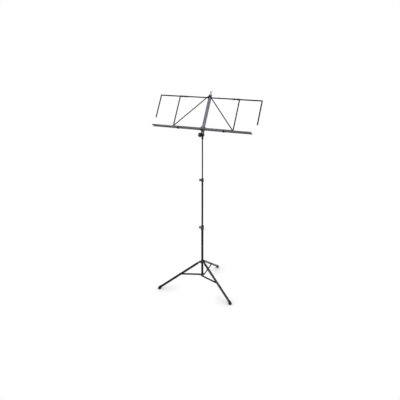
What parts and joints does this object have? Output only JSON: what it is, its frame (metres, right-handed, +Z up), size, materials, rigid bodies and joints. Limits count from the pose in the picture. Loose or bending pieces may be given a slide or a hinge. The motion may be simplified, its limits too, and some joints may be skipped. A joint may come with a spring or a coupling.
{
  "type": "folding music stand",
  "caption": "Folding music stand: telescopic column on a folding tripod with a tilting bar desk, sliding ledge and top extensions and side arms.",
  "frame": {"origin": "on the floor, at the middle of the bounding box seen from above", "axes": "+Z up the column, -Y towards the player, +X to the right of somebody facing the desk"},
  "size_m": [0.775, 0.5266, 1.4825],
  "materials": {
    "black_paint": "satin black paint",
    "anthracite_paint": "satin anthracite paint",
    "black_plastic": "matt moulded plastic",
    "rubber": "black rubber",
    "bright_steel": "zinc plated",
    "dark_steel": "blackened steel"
  },
  "bodies": {
    "base": {"base_tube": "black_paint", "base_bush": "black_plastic", "lower_clamp": "black_plastic", "strut_hub": "black_plastic", "strut_pins": "dark_steel", "lock_screw": "bright_steel"},
    "lower_screw": {"lower_thumb_screw": "black_plastic"},
    "leg_collar": {"leg_collar": "black_plastic", "leg_pins": "dark_steel"},
    "middle": {"middle_tube": "black_paint", "middle_plug": "black_plastic", "middle_bush": "black_plastic", "upper_clamp": "black_plastic"},
    "upper_screw": {"upper_thumb_screw": "black_plastic"},
    "rod": {"top_rod": "black_paint"},
    "head": {"tilt_head": "anthracite_paint"},
    "desk": {"desk_bracket": "black_paint", "tilt_washers": "dark_steel", "tilt_nut": "dark_steel", "spine": "anthracite_paint", "top_gusset": "anthracite_paint", "foot_plate": "anthracite_paint", "top_hook": "bright_steel", "plate_rivets": "dark_steel", "ledge_posts": "dark_steel", "top_rivets": "dark_steel", "apex_pin": "dark_steel"},
    "tilt_screw": {"tilt_knob": "black_plastic", "tilt_bolt": "dark_steel"},
    "leg_left": {"leg_left": "black_paint", "foot_left": "rubber"},
    "strut_left": {"strut_left": "black_paint"},
    "leg_right": {"leg_right": "black_paint", "foot_right": "rubber"},
    "strut_right": {"strut_right": "black_paint"},
    "leg_rear": {"leg_rear": "anthracite_paint", "foot_rear": "rubber"},
    "strut_rear": {"strut_rear": "black_paint"},
    "ledge_right": {"ledge_right": "anthracite_paint", "ledge_studs_right": "dark_steel"},
    "ledge_extension_right": {"ledge_extension_right": "black_paint"},
    "upper_right": {"upper_bar_right": "anthracite_paint", "upper_rivets_right": "dark_steel", "top_clips_right": "black_paint"},
    "side_right": {"side_bar_right": "black_paint"},
    "brace_right": {"brace_right": "black_paint"},
    "top_extension_right": {"top_extension_right": "black_paint", "arm_rivet_right": "dark_steel"},
    "side_arm_right": {"side_arm_right": "black_paint"},
    "ledge_left": {"ledge_left": "anthracite_paint", "ledge_studs_left": "dark_steel"},
    "ledge_extension_left": {"ledge_extension_left": "black_paint"},
    "upper_left": {"upper_bar_left": "anthracite_paint", "upper_rivets_left": "dark_steel", "top_clips_left": "black_paint"},
    "side_left": {"side_bar_left": "black_paint"},
    "brace_left": {"brace_left": "black_paint"},
    "top_extension_left": {"top_extension_left": "black_paint", "arm_rivet_left": "dark_steel"},
    "side_arm_left": {"side_arm_left": "black_paint"}
  },
  "joints": [
    {"name": "leg_fold", "type": "slide", "parent": "base", "child": "leg_collar", "axis": [0, 0, 1], "range_m": [0, 0.22597]},
    {"name": "leg_left_fold", "type": "hinge", "parent": "leg_collar", "child": "leg_left", "pos_m": [-0.01819, -0.09425, 0.212], "axis": [0.5, -0.866, 0], "range_deg": [0, 54.71]},
    {"name": "strut_left_fold", "type": "hinge", "parent": "base", "child": "strut_left", "pos_m": [-0.01559, -0.09275, 0.0987], "axis": [-0.5, 0.866, 0], "range_deg": [0, 80.06]},
    {"name": "leg_right_fold", "type": "hinge", "parent": "leg_collar", "child": "leg_right", "pos_m": [0.01819, -0.09425, 0.212], "axis": [0.5, 0.866, 0], "range_deg": [0, 54.71]},
    {"name": "strut_right_fold", "type": "hinge", "parent": "base", "child": "strut_right", "pos_m": [0.01559, -0.09275, 0.0987], "axis": [-0.5, -0.866, 0], "range_deg": [0, 80.06]},
    {"name": "leg_rear_fold", "type": "hinge", "parent": "leg_collar", "child": "leg_rear", "pos_m": [0, -0.06275, 0.212], "axis": [-1, 0, 0], "range_deg": [0, 54.71]},
    {"name": "strut_rear_fold", "type": "hinge", "parent": "base", "child": "strut_rear", "pos_m": [0, -0.06575, 0.0987], "axis": [1, 0, 0], "range_deg": [0, 80.06]},
    {"name": "lower_screw_turn", "type": "hinge", "parent": "base", "child": "lower_screw", "pos_m": [0, -0.08375, 0.496], "axis": [1, 0, 0], "continuous": true},
    {"name": "middle_slide", "type": "slide", "parent": "base", "child": "middle", "axis": [0, 0, 1], "range_m": [-0.335, 0.02]},
    {"name": "upper_screw_turn", "type": "hinge", "parent": "middle", "child": "upper_screw", "pos_m": [0, -0.08375, 0.87], "axis": [1, 0, 0], "continuous": true},
    {"name": "rod_slide", "type": "slide", "parent": "middle", "child": "rod", "axis": [0, 0, 1], "range_m": [-0.25, 0.02]},
    {"name": "desk_swivel", "type": "hinge", "parent": "rod", "child": "head", "pos_m": [0, -0.08375, 1.201], "axis": [0, 0, 1], "continuous": true},
    {"name": "desk_tilt", "type": "hinge", "parent": "head", "child": "desk", "pos_m": [0, -0.08375, 1.201], "axis": [1, 0, 0], "range_deg": [-50, 25]},
    {"name": "tilt_screw_turn", "type": "hinge", "parent": "desk", "child": "tilt_screw", "pos_m": [0, -0.08375, 1.201], "axis": [1, 0, 0], "continuous": true},
    {"name": "desk_fold", "type": "hinge", "parent": "desk", "child": "ledge_right", "pos_m": [0.009, -0.08973, 1.25055], "axis": [0, -0.8387, 0.5446], "range_deg": [0, 90]},
    {"name": "upper_right_fold", "type": "hinge", "parent": "desk", "child": "upper_right", "pos_m": [0.009, 0.03848, 1.44797], "axis": [0, -0.8387, 0.5446], "range_deg": [0, 90.2]},
    {"name": "side_right_fold", "type": "hinge", "parent": "ledge_right", "child": "side_right", "pos_m": [0.225, -0.08973, 1.25055], "axis": [0, 0.8387, -0.5446], "range_deg": [0, 90.2]},
    {"name": "brace_right_fold", "type": "hinge", "parent": "desk", "child": "brace_right", "pos_m": [0, 0.04611, 1.45971], "axis": [0, 0.8387, -0.5446], "range_deg": [0, 38.06]},
    {"name": "ledge_extension_right_slide", "type": "slide", "parent": "ledge_right", "child": "ledge_extension_right", "axis": [1, 0, 0], "range_m": [-0.12, 0]},
    {"name": "top_extension_right_slide", "type": "slide", "parent": "upper_right", "child": "top_extension_right", "axis": [1, 0, 0], "range_m": [-0.12, 0]},
    {"name": "side_arm_right_swing", "type": "hinge", "parent": "top_extension_right", "child": "side_arm_right", "pos_m": [0.383, 0.05106, 1.4398], "axis": [0, -0.8387, 0.5446], "range_deg": [-90, 30]},
    {"name": "ledge_left_fold", "type": "hinge", "parent": "desk", "child": "ledge_left", "pos_m": [-0.009, -0.08973, 1.25055], "axis": [0, 0.8387, -0.5446], "range_deg": [0, 90.2]},
    {"name": "upper_left_fold", "type": "hinge", "parent": "desk", "child": "upper_left", "pos_m": [-0.009, 0.03848, 1.44797], "axis": [0, 0.8387, -0.5446], "range_deg": [0, 90.2]},
    {"name": "side_left_fold", "type": "hinge", "parent": "ledge_left", "child": "side_left", "pos_m": [-0.225, -0.08973, 1.25055], "axis": [0, -0.8387, 0.5446], "range_deg": [0, 90.2]},
    {"name": "brace_left_fold", "type": "hinge", "parent": "desk", "child": "brace_left", "pos_m": [0, 0.04611, 1.45971], "axis": [0, -0.8387, 0.5446], "range_deg": [0, 38.06]},
    {"name": "ledge_extension_left_slide", "type": "slide", "parent": "ledge_left", "child": "ledge_extension_left", "axis": [-1, 0, 0], "range_m": [-0.12, 0]},
    {"name": "top_extension_left_slide", "type": "slide", "parent": "upper_left", "child": "top_extension_left", "axis": [-1, 0, 0], "range_m": [-0.12, 0]},
    {"name": "side_arm_left_swing", "type": "hinge", "parent": "top_extension_left", "child": "side_arm_left", "pos_m": [-0.383, 0.05106, 1.4398], "axis": [0, 0.8387, -0.5446], "range_deg": [-90, 30]}
  ],
  "couplings": [
    {"joint": "leg_left_fold", "follows": "leg_fold", "rad_per_m": 4.2098},
    {"joint": "strut_left_fold", "follows": "leg_fold", "rad_per_m": 6.1683},
    {"joint": "leg_right_fold", "follows": "leg_fold", "rad_per_m": 4.2098},
    {"joint": "strut_right_fold", "follows": "leg_fold", "rad_per_m": 6.1683},
    {"joint": "leg_rear_fold", "follows": "leg_fold", "rad_per_m": 4.2098},
    {"joint": "strut_rear_fold", "follows": "leg_fold", "rad_per_m": 6.1683},
    {"joint": "upper_right_fold", "follows": "desk_fold", "ratio": 1},
    {"joint": "side_right_fold", "follows": "desk_fold", "ratio": 1},
    {"joint": "brace_right_fold", "follows": "desk_fold", "ratio": 0.42062},
    {"joint": "ledge_left_fold", "follows": "desk_fold", "ratio": 1},
    {"joint": "upper_left_fold", "follows": "desk_fold", "ratio": 1},
    {"joint": "side_left_fold", "follows": "desk_fold", "ratio": 1},
    {"joint": "brace_left_fold", "follows": "desk_fold", "ratio": 0.42062}
  ]
}
